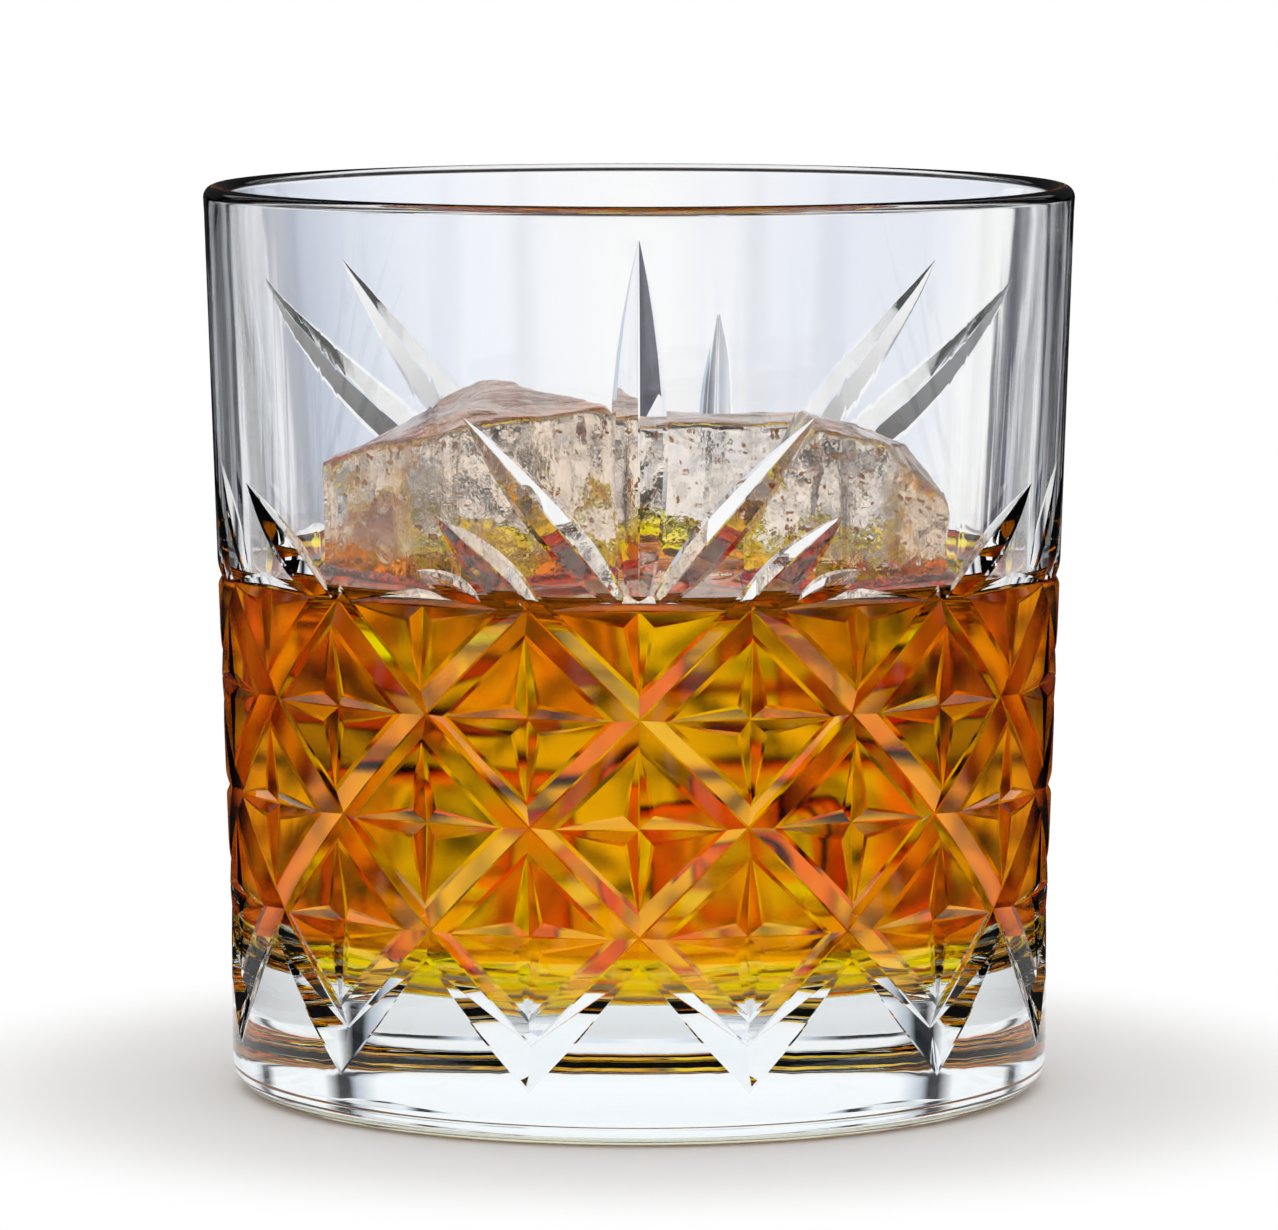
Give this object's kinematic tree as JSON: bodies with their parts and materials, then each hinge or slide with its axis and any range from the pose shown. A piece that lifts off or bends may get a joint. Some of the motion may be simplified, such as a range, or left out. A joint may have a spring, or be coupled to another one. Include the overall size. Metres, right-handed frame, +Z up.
{
  "type": "glass of rum with ice",
  "caption": "Straight-sided cut-glass tumbler with a diamond and star pattern, filled to just over half with amber rum and blocks of ice.",
  "frame": {"origin": "centre of the flat ring under the foot, on the surface that the tumbler stands on", "axes": "+Z up along the tumbler's axis; -Y towards the front, where the tall leaf of the cut pattern is; +X to the right"},
  "size_m": [0.0879, 0.088, 0.0915],
  "materials": {
    "glass": "clear pressed glass with polished facets and a fire-polished rim",
    "rum": "clear golden amber spirit",
    "ice": "wet clear ice with a cloudy core"
  },
  "bodies": {
    "root": {"tumbler": "glass", "rum": "rum", "ice_left": "ice", "ice_middle": "ice", "ice_right": "ice"}
  },
  "joints": []
}
